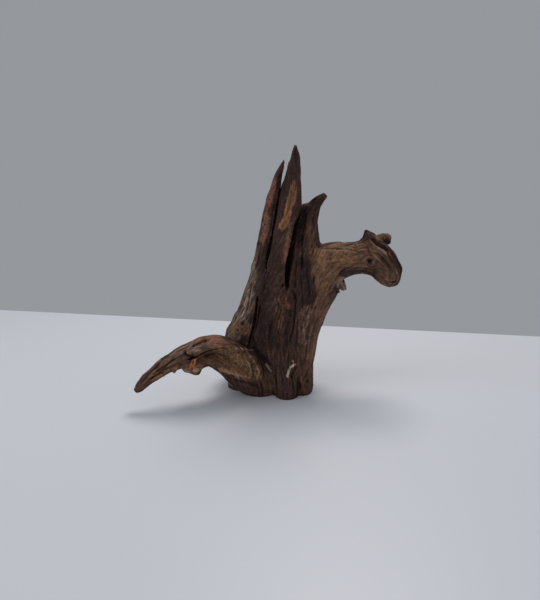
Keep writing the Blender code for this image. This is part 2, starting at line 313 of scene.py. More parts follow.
# Where each tone lies, and on which side: path, reach (mm), fade (mm), strength, ragged edge (mm).
# The streaks break up a cover of strength 1. A strength above 1 lets fewer of them through.
PATCHES = {
    ("brown", "front"): (
        (((53, 44), (52.4, 31.6), (52.3, 23)), 5, 9, 0.35, 6),
        (((64.3, 33), (65.2, 20.7), (64, 6)), 9, 10, 1, 6),
        (((45, 57.8), (43.4, 50.9), (41.8, 44.4)), 7, 10, 1, 6),
        (((54.5, 64), (54, 56), (53, 48)), 4, 7, 0.5, 6),
        (((66, 72), (65.5, 62), (66, 52)), 6, 9, 0.5, 6),
        (((64, 75), (67.2, 79.5)), 5, 5, 0.25, 4),
        (((87.2, 61.2), (89.4, 57.8), (91.8, 53.4), (94.5, 48.5)), 10, 8, 1.3, 5),
        (((2, 9), (10, 16), (20, 23)), 14, 6, 1.35, 3),
        (((21.7, 23.5), (26, 25.4), (34.6, 24.3)), 6, 4, 1.35, 3),
        (((42, 10), (46, 8), (49, 6)), 8, 8, 0.8, 6),
        (((33, 20), (37, 16), (42, 11)), 16, 8, 0.8, 6),
        (((60, 10), (64, 5)), 10, 8, 0.7, 6),
        (((35, 5), (48, 3)), 5, 8, 0.5, 6),
    ),
    ("brown", "back"): (
        (((45, 6), (45, 30), (50, 52)), 14, 14, 0.8, 6),
        (((64, 10), (66, 30), (74, 48)), 14, 10, 0.9, 6),
        (((56, 60), (58, 85)), 10, 8, 0.6, 6),
        (((10, 18), (30, 24)), 12, 8, 0.9, 5),
    ),
    ("brown", "left"): (
        (((70, 10), (70, 40)), 16, 12, 0.7, 6),
    ),
    ("brown", "right"): (
        (((60, 10), (60, 35)), 16, 12, 0.7, 6),
    ),
    ("grey", "front"): (
        (((43.6, 54), (41.8, 44.4), (39.5, 35), (37.8, 30)), 3, 8, 0.55, 6),
        (((36.2, 28.2), (38.5, 28), (40.5, 27.4)), 6, 4, 0.68, 4),
        (((9, 16.5), (12, 19.7), (17.2, 23.6), (20.5, 25.4)), 3, 5, 0.4, 4),
        (((20.8, 23.2), (24, 24.6)), 4, 3, 0.4, 3),
        (((90.5, 64.8), (94.5, 65.2)), 3, 2.5, 0.4, 1),
        (((76.5, 47), (78.5, 42.8)), 6, 3, 0.9, 1),
        (((39.7, 21.4), (41.5, 21.3), (43.3, 21.1)), 1.8, 1.5, 1.2, 0.5),
        (((63.4, 34.9), (63.6, 23.9)), 4, 6, 0.4, 5),
        (FOOT_RIM, 2.5, 3, 0.5, 2),
        (RIGHT_GROOVE, 1.2, 2, 0.3, 3),
    ),
    ("grey", "back"): (
        (((40, 10), (42, 28), (46, 45)), 8, 10, 0.6, 6),
        (((56, 40), (58, 60), (59, 80)), 6, 8, 0.5, 5),
        (((70, 58), (85, 60)), 8, 8, 0.6, 5),
    ),
    ("grey", "left"): (
        (((50, 6), (52, 25), (54, 50)), 8, 10, 0.5, 6),
    ),
    ("tan", "front"): (
        (((70.3, 50), (70.8, 56), (76, 58.5)), 13, 9, 1.15, 6),
        (((35.2, 26.8), (37.5, 27.4), (40.2, 26.8)), 6, 4, 0.9, 4),
        (((80, 58), (85, 58.5)), 14, 8, 0.55, 6),
        (((70, 46.1), (69, 41), (69, 35)), 6, 7, 0.9, 6),
        (((66.6, 16), (68.6, 26), (71, 34)), 5, 6, 1, 5),
        (((33.5, 19), (38, 15), (42, 11.5)), 9, 8, 0.7, 5),
        (((65.4, 69), (65, 63.7), (66.5, 56)), 3, 6, 0.3, 5),
        (((89.5, 56), (92.5, 51), (95, 47.5)), 4, 5, 0.3, 4),
        (((86.5, 64), (88.5, 60.5)), 4, 5, 0.5, 3),
        (((90, 65), (92.8, 65.4), (95.5, 65)), 3, 2.5, 0.7, 1),
        (((56.8, 69.9), (55.8, 64.1), (54.9, 57.8)), 2.5, 4, 0.6, 3),
        (((7.5, 14), (11.3, 17), (16, 19)), 4, 4, 0.8, 3),
        (((24, 20.8), (28, 22.2), (33.5, 21.6)), 7, 4, 1.4, 3),
        (((19, 16), (22.5, 15)), 6, 3, 0.8, 2),
    ),
    ("tan", "back"): (
        (((70, 42), (74, 52), (85, 57)), 12, 12, 0.8, 6),
        (((12, 19), (22, 24), (32, 23)), 5, 6, 0.5, 5),
    ),
    ("ochre", "front"): (
        (((70, 56.5), (73.5, 58), (76.5, 57.8)), 5, 9, 0.65, 7),
        (((70.5, 52), (70, 47)), 4, 8, 0.3, 6),
        (((67.8, 59), (72, 60)), 3, 5, 0.7, 4),
        (((35, 22.5), (37.5, 20.8)), 4, 5, 0.7, 4),
        (((40, 13), (42.5, 11.2)), 3, 5, 0.6, 4),
        (((21.4, 15), (22, 14.2)), 2, 2.5, 0.6, 1),
        (((31.2, 13.9), (34.7, 12.1), (38.7, 11), (42.6, 9.4)), 2.2, 2.5, 0.75, 2),
        (((24.6, 20.4), (29, 22.2), (33.5, 21.6)), 2, 4, 0.7, 3),
    ),
    ("russet", "front"): (
        (((50.6, 85), (49.4, 77.4), (48.3, 70.8), (46.6, 64)), 3.5, 5, 0.9, 4),
        (((22.5, 26.6), (26, 27.6), (29.5, 27.2), (32.5, 25.6)), 5, 4, 1.2, 3),
        (((29, 25.4), (33, 24), (36.8, 22.2)), 3, 4, 0.9, 3),
        (((49.5, 19), (50.5, 14), (52, 10)), 3, 5, 0.25, 4),
        (((54, 37), (54, 33)), 3, 4, 0.4, 4),
        (((39, 22.5), (41.2, 19), (43.4, 16.3)), 2.5, 3, 0.6, 2),
        (((40.8, 18.9), (42.3, 17.1)), 2, 2, 0.9, 2),
        (((55.1, 60), (54.9, 57)), 2, 3, 0.8, 2),
        (((55.2, 39.6), (56.4, 36.8)), 2.5, 3, 0.7, 3),
        (((52.2, 40.1), (53, 38.3), (51.8, 35.9)), 2, 3, 0.5, 3),
        (((53.2, 30), (53, 28.5)), 2, 3, 0.5, 3),
        (((71.5, 36), (70, 30.6), (69, 25)), 2.5, 4, 0.7, 3),
        (((64.5, 16), (65.5, 10)), 3, 4, 0.6, 3),
        (((85.5, 62), (87, 60)), 4, 6, 0.4, 4),
        (((86, 56.8), (87.8, 54.5)), 4, 3, 0.6, 3),
        (((68, 80), (70, 81)), 3, 3, 0.5, 2),
        (((92.2, 59.7), (94.5, 58.3)), 2, 3, 0.8, 2),
        (((87.7, 65), (88.9, 63.4)), 1.5, 2, 0.7, 1),
        (((89.5, 64), (93.5, 64.5)), 2, 2.5, 0.45, 1),
    ),
    ("gold", "front"): (
        (((58.2, 84.5), (57.2, 81.2), (56, 76.5), (54.8, 72.2), (54, 70)), 4.6, 3, 1, 3),
    ),
    ("moss", "front"): (
        (((27, 20), (31.7, 20.5), (36.2, 19.2), (39.4, 15.5), (42, 11.8)), 8, 7, 0.9, 4),
    ),
    ("plum", "front"): (
        (((60, 88), (60.1, 79.3), (59, 74), (57.8, 70)), 3, 4, 0.9, 3),
        (((85, 65), (86.2, 66.4)), 3, 4, 0.9, 2),
        (((86.9, 56), (88.2, 54)), 3.5, 4, 0.7, 3),
        (((53, 14), (54.5, 8), (56, 1.5)), 8, 7, 0.7, 5),
        (((40, 7), (46, 3)), 5, 6, 0.6, 4),
    ),
    ("dark", "front"): (
        (((48.2, 60), (46.6, 54), (46.2, 47), (45.8, 41)), 4, 7, 0.8, 5),
        (((47.4, 33), (48.2, 27), (49.4, 22)), 7, 8, 0.9, 5),
        (((62.6, 54), (63.6, 47.2), (64.4, 41)), 4.5, 5, 0.9, 4),
        (((52.5, 66), (52, 60), (51.6, 54)), 4, 6, 0.5, 4),
        (((57, 95), (56, 88), (54.8, 82)), 4, 5, 0.6, 3),
        (((62.2, 72), (64.5, 76.5), (69, 80.4)), 4, 4, 0.6, 3),
        (((34, 7), (39, 5.5), (44, 4)), 4, 6, 0.3, 5),
        (((80.8, 51.2), (85, 51.2), (89.3, 49.5)), 1.5, 4, 0.4, 2),
        (((58.8, 42), (58.6, 33), (57.8, 22)), 3, 5, 0.4, 4),
        (((24, 18.6), (26.2, 20)), 2, 3, 0.3, 2),
    ),
    ("pale", "front"): (
        (((41.3, 42.5), (39.7, 36.2), (38.5, 32.5)), 1, 3, 0.3, 4),
        (SCAR, 1.3, 1, 1, 0.4),
        (((58.3, 14.3), (58.7, 13.8)), 0.9, 1.3, 0.4, 1),
        (ARM_FIBRE, 0.6, 1.2, 0.4, 1),
        (FOOT_FIBRE, 0.6, 1.2, 0.35, 1),
        (INNER_FIBRE, 0.4, 1.1, 0.3, 1),
        (((48, 12.4), (49.7, 9.9)), 0.6, 1.4, 0.3, 1),
        # Painted highlights: thin pale lines along the crests of the head's folds, and a pale spot on the
        # right of the eye knot.
        (((87.8, 62.8), (89.2, 61.4), (90.9, 60), (92.6, 58.3), (93.8, 57)), 0.2, 0.9, 0.4, 0.3),
        (((90.5, 64.2), (92.3, 63.3)), 0.3, 0.9, 0.4, 0.5),
        (((88.8, 57.6), (90.4, 56), (91.8, 54.4), (93.6, 52.5)), 0.2, 0.9, 0.25, 0.5),
        (((96.6, 52.9), (97.3, 50.7)), 0.3, 0.9, 0.3, 0.5),
        (((88, 56.1), (88.3, 55.2)), 0.4, 1, 0.3, 0.5),
        (((18.6, 14.5), (19.4, 14.2)), 1.5, 1.5, 0.25, 1),
        (((21.4, 14.3), (22.4, 14.2)), 1.5, 1.5, 0.3, 1),
    ),
    ("fresh", "front"): (
        (((22, 19.3), (21.3, 17.8), (20.8, 16.2)), 2.5, 1, 1, 0.4),
        (((20.7, 15.8), (20.8, 14.6)), 1.4, 1.4, 0.6, 0.6),
    ),
    ("recess_shade", "front"): (
        # Painted shade laid in the head's folds, the hollows and cracks of the spikes, the valley behind
        # the arm's foot and the gaps beside the fresh break.
        (((87.7, 64.8), (88.9, 63), (90.7, 61.7), (92.6, 60.7)), 1.5, 2.6, 0.6, 1.5),
        (((95.2, 58.8), (97, 56.2), (98.3, 54), (99, 51.5)), 1.6, 2.6, 0.6, 1.5),
        (((86.1, 67), (87.4, 66.2)), 2, 2.5, 0.6, 1),
        (((94.5, 62.2), (96.5, 62.6)), 2.5, 2.5, 0.6, 1),
        (((61.8, 74.5), (61.4, 70), (60, 64)), 2.5, 4, 0.35, 3),
        (((53.5, 89.8), (52.1, 83.8), (50.8, 76.2), (49.7, 68.5)), 1.2, 2, 0.7, 2),
        (((49.2, 67), (48.7, 63.9), (48.3, 57.5)), 0.6, 1.4, 0.6, 1),
        (((59.6, 98.5), (59.2, 96)), 3, 4, 0.4, 2),
        (((43, 21.5), (45.5, 18), (49, 14.5)), 3, 6, 0.3, 4),
        (((22.9, 19.4), (22.3, 17.4)), 0.5, 1.2, 0.5, 0.5),
        (((20.9, 19.4), (20.2, 17.4)), 0.5, 1.2, 0.5, 0.5),
    ),
}

# The dry crust's pale crumbs and dark holes, and the tones that carry a share of it.
CRUST_SHARES = {"moss": 1.0, "russet": 0.4, "tan": 0.5}
CRUMB_COLOUR = (0.360, 0.240, 0.145, 1)
HOLE_COLOUR = (0.070, 0.034, 0.020, 1)
FLECK_COLOUR = (0.30, 0.18, 0.11, 1)
RED_TINT = (1.25, 0.85, 0.72, 1)
OLIVE_TINT = (1.0, 1.06, 0.90, 1)

# How much each streak, the speckle and the cloud lighten or darken the wood.
STREAK_WEIGHTS = {"medium": 0.07, "fine": 0.08, "broad": 0.06, "mottle": 0.13}
SPECKLE_WEIGHT = 0.9
CLOUD_WEIGHT = 1.3

# The view: a phone held about half a metre away, a little above the root, tipped down to it.
CAMERA_PLACE = (0.0, -0.52, 0.25)
CAMERA_TIP = math.radians(76)
CAMERA_LENS = 24.3
SENSOR_WIDTH = 36

# The table's far edge runs through these two places, and the table reaches this far from it.
TABLE_BACK_LEFT = (-0.627, 0.387)
TABLE_BACK_RIGHT = (0.483, 0.203)
TABLE_REACH = 6.0
TABLE_COLOUR = (0.70, 0.71, 0.75, 1)
TABLE_ROUGHNESS = 0.45
ROOM_COLOUR = (0.300, 0.312, 0.335, 1)

# Round lamps: place from the middle of the root, width (m), power (W), colour.
LAMPS = {
    "ceiling": ((0.25, 0.55, 1.3), 0.7, 11.0, (1.0, 0.98, 0.96)),
    "window": ((-1.2, -0.3, 0.9), 0.9, 4.5, (0.90, 0.95, 1.0)),
    "fill": ((-0.3, -1.3, 0.0), 0.8, 1.3, (0.84, 0.90, 1.0)),
}


def placed(table):
    """Every entry of a table that is grouped by side, with its side in front."""
    for side, entries in table.items():
        for entry in entries:
            yield side, *entry


def lattice_noise(points, size, seed):
    """Smooth values from -1 to 1 that change over about this size, in metres, the same every run."""
    scaled = points / size + 512.0
    cell = np.floor(scaled).astype(np.int64)
    part = scaled - cell
    part = part * part * (3 - 2 * part)
    total = np.zeros(len(points))
    for corner in np.ndindex(2, 2, 2):
        at = cell + corner
        mixed = (at[:, 0] * 73856093) ^ (at[:, 1] * 19349663)
        mixed = mixed ^ (at[:, 2] * 83492791) ^ (seed * 26544357)
        mixed = ((mixed ^ (mixed >> 13)) * 1274126177) & 0x7FFFFFFF
        mixed = ((mixed ^ (mixed >> 15)) * 668265263) & 0x7FFFFFFF
        value = ((mixed >> 8) & 0xFFFF) / 32767.5 - 1
        total += value * np.prod(np.where(corner, part, 1 - part), axis=1)
    return total


def smooth_step(values, low, high):
    """Values eased from 0 at low to 1 at high."""
    share = np.clip((values - low) / (high - low), 0, 1)
    return share * share * (3 - 2 * share)


def unit(vectors):
    """The vectors at length 1."""
    return vectors / np.maximum(np.linalg.norm(vectors, axis=1, keepdims=True), 1e-12)


def dots(first, second):
    """The dot product of each pair of rows."""
    return np.einsum("ij,ij->i", first, second)


def in_box(axis, percent):
    """The coordinate that lies this far along the CAD box."""
    return CAD_LOW[axis] + percent / 100 * CAD_SIZE[axis]


def with_modifier(mesh, kind, name, **settings):
    """A new mesh: this one after one modifier."""
    holder = bpy.data.objects.new(name, mesh)
    bpy.context.scene.collection.objects.link(holder)
    modifier = holder.modifiers.new(name, kind)
    for key, value in settings.items():
        setattr(modifier, key, value)
    graph = bpy.context.evaluated_depsgraph_get()
    result = bpy.data.meshes.new_from_object(holder.evaluated_get(graph))
    result.name = name
    bpy.data.objects.remove(holder)
    return result


class Wood:
    """A mesh's points, with what the carving needs to know about them."""

    def __init__(self, mesh):
        self.mesh = mesh
        self.points = np.empty(len(mesh.vertices) * 3)
        mesh.vertices.foreach_get("co", self.points)
        self.points = self.points.reshape(-1, 3)
        self.edges = np.empty(len(mesh.edges) * 2, np.int32)
        mesh.edges.foreach_get("vertices", self.edges)
        self.edges = self.edges.reshape(-1, 2)
        self.count = len(self.points)
        ends = self.edges.ravel()
        self.neighbours = np.maximum(np.bincount(ends, minlength=self.count), 1)
        self.measure()

    def measure(self):
        """Writes the points back to the mesh, and reads its normals."""
        self.mesh.vertices.foreach_set("co", self.points.astype(np.float32).ravel())
        self.mesh.update()
        self.normals = np.empty(self.count * 3, np.float32)
        self.mesh.vertex_normals.foreach_get("vector", self.normals)
        self.normals = self.normals.reshape(-1, 3).astype(float)

    def around(self, values):
        """The mean of each point's neighbours."""
        first, second = self.edges[:, 0], self.edges[:, 1]
        if values.ndim == 1:
            total = np.bincount(first, values[second], self.count)
            total += np.bincount(second, values[first], self.count)
            return total / self.neighbours
        return np.stack([self.around(values[:, k]) for k in range(values.shape[1])], axis=1)

    def softened(self, values, rounds):
        """The values after some rounds of being drawn halfway to their neighbours' mean."""
        for _ in range(rounds):
            values = 0.5 * values + 0.5 * self.around(values)
        return values

    def along_surface(self, vectors):
        """The vectors with their part along the normals taken out."""
        return vectors - self.normals * dots(vectors, self.normals)[:, None]

    def shift(self, push):
        """Moves every point along its normal. Beside the floor it moves only sideways, none goes under."""
        lifted = smooth_step(self.points[:, 2], CAD_LOW[2] + 0.3 * MM, CAD_LOW[2] + 3 * MM)
        step = self.normals * push[:, None]
        step[:, 2] *= lifted
        step *= np.where(self.normals[:, 2] < -0.7, lifted, 1)[:, None]
        self.points = self.points + step
        self.points[:, 2] = np.maximum(self.points[:, 2], CAD_LOW[2])
        self.measure()


def tree_of(mesh):
    """The mesh's triangles, ready for rays."""
    mesh.calc_loop_triangles()
    corners = [tuple(t.vertices) for t in mesh.loop_triangles]
    return BVHTree.FromPolygons([tuple(v.co) for v in mesh.vertices], corners)


def lay_on(tree, side, path, spacing=1.0 * MM):
    """Points and normals on the surface under a path in percent of the CAD box, seen from a side."""
    axis, sign = SIDES[side]
    flat = [k for k in range(3) if k != axis]
    corners = np.array([[in_box(k, percent) for k, percent in zip(flat, place)] for place in path])
    samples = [corners[0]]
    for start, end in zip(corners, corners[1:]):
        steps = max(1, round(float(np.linalg.norm(end - start)) / spacing))
        samples += [start + (end - start) * (step + 1) / steps for step in range(steps)]
    ahead = Vector([sign if k == axis else 0 for k in range(3)])
    points, normals = [], []
    for sample in samples:
        origin = Vector((0, 0, 0))
        origin[flat[0]], origin[flat[1]] = sample
        origin[axis] = (CAD_LOW if sign > 0 else CAD_HIGH)[axis] - sign * LOOK_FROM
        hit, normal, _, _ = tree.ray_cast(origin, ahead)
        if hit is not None:
            points.append(hit)
            normals.append(normal)
    return np.array(points).reshape(-1, 3), np.array(normals).reshape(-1, 3)


def reach_of(wood, points, normals, reach):
    """Mesh points within reach of a laid path: indices, distances, and places along it (0 to 1)."""
    if not len(points):
        return np.zeros(0, int), np.zeros(0), np.zeros(0)
    above = wood.points > points.min(0) - reach
    below = wood.points < points.max(0) + reach
    near = np.nonzero(np.all(above & below, axis=1))[0]
    away = np.linalg.norm(wood.points[near, None] - points[None], axis=2)
    closest = away.argmin(axis=1)
    distance = away[np.arange(len(near)), closest]
    facing = dots(wood.normals[near], normals[closest]) > 0.0
    kept = (distance < reach) & facing
    along = closest[kept] / max(1, len(points) - 1)
    return near[kept], distance[kept], along


def sliver_loops(shape, surface, lean, foot, tip, index):
    """Rings of points of one sliver: a bent taper with an uneven section, sunk a little at its foot."""
    start = surface - unit(lean[None])[0] * foot
    across = unit(np.cross(lean, (0.3, 1.0, 0.2))[None])[0]
    deep = unit(np.cross(lean, across)[None])[0]
    loops = []
    for ring in range(SLIVER_RINGS):
        share = ring / (SLIVER_RINGS - 1)
        radius = foot + (tip - foot) * share ** 0.8
        bend = deep * math.sin(share * 2 + index) * 0.6 * MM
        centre = start + (surface + lean - start) * share + bend
        loop = []
        for corner in range(SLIVER_SIDES):
            turn = 2 * math.pi * corner / SLIVER_SIDES
            swell = 1 + 0.28 * math.sin(corner * 2.4 + index * 1.7 + ring * 0.5)
            offset = across * math.cos(turn) + deep * math.sin(turn) * 0.75
            loop.append(shape.verts.new(centre + offset * radius * swell))
        loops.append(loop)
    return loops


def add_splinters(shape, tree):
    """Adds every broken sliver to the shape as a closed skin of its own."""
    for index, (side, place, lean, foot, tip) in enumerate(placed(SPLINTERS)):
        points, _ = lay_on(tree, side, (place,))
        if not len(points):
            continue
        loops = sliver_loops(shape, points[0], np.array(lean) * MM, foot * MM, tip * MM, index)
        for lower, upper in zip(loops, loops[1:]):
            for corner in range(SLIVER_SIDES):
                after = (corner + 1) % SLIVER_SIDES
                shape.faces.new((lower[corner], lower[after], upper[after], upper[corner]))
        shape.faces.new(reversed(loops[0]))
        shape.faces.new(loops[-1])
    bmesh.ops.recalc_face_normals(shape, faces=shape.faces)


def mesh_of(shape, name):
    """A new mesh of the shape, which is then freed."""
    mesh = bpy.data.meshes.new(name)
    shape.to_mesh(mesh)
    shape.free()
    return mesh


def fine_mesh(cad_mesh, tree):
    """The solid and its splinters as one finely remeshed skin, and the tree of the two joined."""
    slivers = bmesh.new()
    add_splinters(slivers, tree)
    shape = bmesh.new()
    shape.from_mesh(cad_mesh)
    shape.from_mesh(mesh_of(slivers, "slivers"))
    joined = mesh_of(shape, "joined")
    joined_tree = tree_of(joined)
    skin = with_modifier(joined, "REMESH", "fine", mode="VOXEL", voxel_size=FINE_VOXEL)
    return skin, joined_tree


def tips_of(points):
    """Which points lie on a tip, where the grain ends."""
    across, up = points[:, 0], points[:, 2]
    tips = up > in_box(2, TALL_TIP_HEIGHT)
    tips |= (up > in_box(2, LEFT_TIP_HEIGHT)) & (across < in_box(0, LEFT_TIP_WIDTH))
    tips |= (up > in_box(2, HORN_TIP_HEIGHT)) & (across > in_box(0, HORN_TIP_WIDTH))
    tips |= across < in_box(0, ARM_TIP_WIDTH)
    tips |= (up < in_box(2, HEAD_TIP_HEIGHT)) & (across > in_box(0, HEAD_TIP_WIDTH))
    return tips


def settled_level(coarse, fixed, level):
    """Fills in the level between the fixed points as a stretched skin would, by conjugate gradients."""

    def pull(values):
        return (values - coarse.around(values)) * coarse.neighbours * ~fixed

    rest = -pull(level)
    ahead = rest.copy()
    answer = np.zeros(coarse.count)
    size = rest @ rest
    for _ in range(1500):
        pulled = pull(ahead)
        step = size / max(ahead @ pulled, 1e-30)
        answer += step * ahead
        rest -= step * pulled
        new_size = rest @ rest
        if new_size < 1e-12:
            break
        ahead = rest + ahead * (new_size / size)
        size = new_size
    return level + answer


def grain_flow(cad_mesh):
    """Points of a coarse copy and the grain's direction there: a flow from the foot to every tip."""
    settings = {"mode": "VOXEL", "voxel_size": FLOW_VOXEL}
    coarse = Wood(with_modifier(cad_mesh.copy(), "REMESH", "coarse", **settings))
    points = coarse.points
    tips = tips_of(points)
    foot = points[:, 2] < CAD_LOW[2] + 2 * FLOW_VOXEL
    level = settled_level(coarse, tips | foot, tips.astype(float))
    first, second = coarse.edges[:, 0], coarse.edges[:, 1]
    step = points[second] - points[first]
    climb = ((level[second] - level[first]) / np.maximum(dots(step, step), 1e-12))[:, None]
    flow = np.zeros((coarse.count, 3))
    for k in range(3):
        flow[:, k] = np.bincount(first, (climb * step)[:, k], coarse.count)
        flow[:, k] += np.bincount(second, (climb * step)[:, k], coarse.count)
    flow = unit(coarse.softened(unit(flow), 6))
    return points, unit(coarse.along_surface(flow))


def carried_flow(wood, coarse_points, coarse_flow, knots):
    """The grain's direction at every fine point, bent round the knots."""
    tree = KDTree(len(coarse_points))
    for index, point in enumerate(coarse_points):
        tree.insert(point, index)
    tree.balance()
    nearest = np.array([tree.find(point)[1] for point in wood.points])
    flow = wood.softened(coarse_flow[nearest], 12)
    waver = lattice_noise(wood.points, WAVER_SIZE, 5)[:, None] * WAVER
    flow = flow + np.cross(wood.normals, flow) * waver
    for centre, radius in knots:
        away = wood.points - centre
        distance = np.linalg.norm(away, axis=1)
        strength = KNOT_TURN * np.exp(-((distance / (KNOT_REACH * radius)) ** 2))[:, None]
        outward = away / np.maximum(distance, 1e-9)[:, None]
        flow = flow - outward * dots(flow, outward)[:, None] * strength
    return unit(wood.along_surface(flow))


class Finder:
    """Finds the mesh point near any place at once, with a grid of cells."""

    def __init__(self, points, cell):
        self.cell = cell
        self.low = points.min(0) - 3 * cell
        self.shape = np.ceil((points.max(0) - self.low) / cell).astype(int) + 4
        self.grid = np.full(int(np.prod(self.shape)), -1, np.int32)
        home = np.floor((points - self.low) / cell).astype(int)
        cells, owners, distances = [], [], []
        for offset in np.ndindex(3, 3, 3):
            at = home + np.array(offset) - 1
            centre = self.low + (at + 0.5) * cell
            cells.append(self.flat(at))
            owners.append(np.arange(len(points), dtype=np.int32))
            distances.append(np.linalg.norm(centre - points, axis=1).astype(np.float32))
        order = np.argsort(-np.concatenate(distances), kind="stable")
        self.grid[np.concatenate(cells)[order]] = np.concatenate(owners)[order]

    def flat(self, at):
        """The grid's index of each cell."""
        return (at[:, 0] * self.shape[1] + at[:, 1]) * self.shape[2] + at[:, 2]

    def near(self, places):
        """The point kept for each place's cell, or -1 where there is none."""
        at = np.floor((places - self.low) / self.cell).astype(int)
        return self.grid[self.flat(np.clip(at, 0, self.shape - 1))]


def grain_table(wood, flow):
    """For each point, the mesh points met while following the grain both ways."""
    finder = Finder(wood.points, 1.1 * FINE_VOXEL)
    own = np.arange(wood.count, dtype=np.int32)
    table = np.empty((2 * GRAIN_STEPS + 1, wood.count), np.int32)
    table[GRAIN_STEPS] = own
    for sign in (-1, 1):
        places, at = wood.points.copy(), own.copy()
        for step in range(1, GRAIN_STEPS + 1):
            places = places + flow[at] * GRAIN_STEP * sign
            found = finder.near(places)
            at = np.where(found >= 0, found, at)
            off = dots(places - wood.points[at], wood.normals[at])
            places = places - wood.normals[at] * off[:, None]
            table[GRAIN_STEPS + sign * step] = at
    return table


def drawn_out(table, values, half_steps):
    """The values smeared along the grain over this many steps each way, scaled to unit spread."""
    total = np.zeros(table.shape[1])
    weight = 0.0
    for step in range(-half_steps, half_steps + 1):
        share = math.cos(0.5 * math.pi * step / (half_steps + 1)) ** 2
        total += values[table[GRAIN_STEPS + step]] * share
        weight += share
    total /= weight
    return (total - total.mean()) / total.std()


def cracks_of(table, points, seed, chance, half_steps):
    """Drying cracks along the grain: 1 in the middle of one, falling to 0 at its ends."""
    dice = 0.5 + 0.5 * lattice_noise(points, 0.35 * MM, seed)
    seeds = dice > np.quantile(dice, 1 - chance)
    depth = np.zeros(table.shape[1])
    for step in range(-half_steps, half_steps + 1):
        share = 1 - abs(step) / (half_steps + 1)
        depth = np.maximum(depth, seeds[table[GRAIN_STEPS + step]] * share)
    return depth


def carve(wood, tree):
    """How far every stroke and knot pushes the points out, and the painted shade that they lay in their
    grooves and eyes.
    """
    recess_shade = np.zeros(wood.count)
    push = np.zeros(wood.count)
    for side, path, width, depth, dark in placed(STROKES):
        points, normals = lay_on(tree, side, path)
        near, distance, along = reach_of(wood, points, normals, width * 1.6 * MM)
        share = distance / (width * MM)
        ends = np.clip(4 * along * (1 - along) * 1.6, 0, 1) ** 0.6
        if depth > 0:
            shape = np.clip(1 - share ** 2, 0, 1) ** 1.5
        else:
            shape = np.clip(1 - share, 0, 1) ** 1.2
        push[near] -= depth * MM * shape * ends
        recess_shade[near] = np.maximum(recess_shade[near], dark * np.clip(1.2 - share, 0, 1) * ends)
    for side, place, radius, depth, rim, dark in placed(KNOTS):
        points, normals = lay_on(tree, side, (place,))
        near, distance, _ = reach_of(wood, points, normals, radius * 2.4 * MM)
        share = distance / (radius * MM)
        share *= 1 + 0.35 * lattice_noise(wood.points[near], 0.8 * radius * MM, 21)
        push[near] += rim * MM * np.exp(-(((share - 1.0) / 0.38) ** 2))
        push[near] -= depth * MM * np.exp(-((share / 0.62) ** 2))
        recess_shade[near] = np.maximum(recess_shade[near], dark * np.exp(-((share / 0.55) ** 2)))
    return push, recess_shade


def patch_masks(wood, tree, streak):
    """One mask for each tone. Its edges are drawn ragged along the grain."""
    blotch = lattice_noise(wood.points, 5 * MM, 77)
    masks = {tone: np.zeros(wood.count) for tone in TONES}
    for (tone, side), patches in PATCHES.items():
        mask = masks[tone]
        for path, reach, fade, strength, ragged in patches:
            points, normals = lay_on(tree, side, path, 2.0 * MM)
            far = (reach + fade + 2 * ragged) * MM
            near, distance, _ = reach_of(wood, points, normals, far)
            edge = distance / MM + ragged * (0.55 * streak[near] + 0.45 * blotch[near])
            cover = strength * (1 - smooth_step(edge, reach, reach + fade))
            mask[near] = np.maximum(mask[near], cover)
    return masks


def carve_relief(wood, fields, masks, cracks, long_cracks, dents):
    """Gives the wood its ridges, dents and cracks, and returns the painted shade laid in the cracks.

    Where the wood is mossy or tan it is bumpy instead of streaked, so the medium and mottle fields
    are weakened there, and where it is brown it has fewer and shallower cracks.
    """
    bumps = np.clip(np.maximum(masks["moss"], 0.8 * masks["tan"]), 0, 1)
    calm = np.clip(np.maximum(bumps, 0.6 * masks["brown"]), 0, 1)
    fields["medium"] = fields["medium"] * (1 - 0.5 * bumps)
    fields["mottle"] = fields["mottle"] * (1 - 0.6 * bumps)
    knobs = lattice_noise(wood.points, 3.4 * MM, 13)
    relief = BROAD_RELIEF * (RIDGE_LEVEL - np.abs(fields["broad"])) * (1 - 0.7 * bumps)
    relief += MEDIUM_RELIEF * (RIDGE_LEVEL - np.abs(fields["medium"])) * (1 - 0.6 * calm)
    relief += (KNOB_RELIEF + BUMPY_KNOB_RELIEF * bumps) * knobs
    relief += FINE_RELIEF * fields["fine"] + MOTTLE_RELIEF * fields["mottle"] + DENT_RELIEF * dents
    relief -= SHORT_CRACK_DEPTH * smooth_step(cracks, 0.1, 0.9) * (1 - 0.7 * calm)
    relief -= LONG_CRACK_DEPTH * smooth_step(long_cracks, 0.05, 0.8) * (1 - 0.6 * calm)
    wood.shift(relief)
    # Painted shade laid in the cracks, less where the wood is calm.
    crack_shade = np.maximum(smooth_step(cracks, 0.3, 0.9), smooth_step(long_cracks, 0.1, 0.9))
    return CRACK_SHADE * (1 - 0.8 * calm) * crack_shade


def knot_places(tree):
    """The centre and radius of every knot."""
    places = []
    for side, place, radius, _, _, _ in placed(KNOTS):
        points, _ = lay_on(tree, side, (place,))
        places += [(point, radius * MM) for point in points]
    return places


def finished_mesh(wood, fields):
    """The wood with its fields written on it, thinned to the most triangles allowed."""
    for name, values in fields.items():
        attribute = wood.mesh.attributes.new(name, "FLOAT", "POINT")
        attribute.data.foreach_set("value", values.astype(np.float32))
    wood.mesh.calc_loop_triangles()
    ratio = min(1.0, MOST_TRIANGLES / len(wood.mesh.loop_triangles))
    mesh = with_modifier(wood.mesh, "DECIMATE", "thinned", ratio=ratio)
    mesh.shade_smooth()
    return mesh


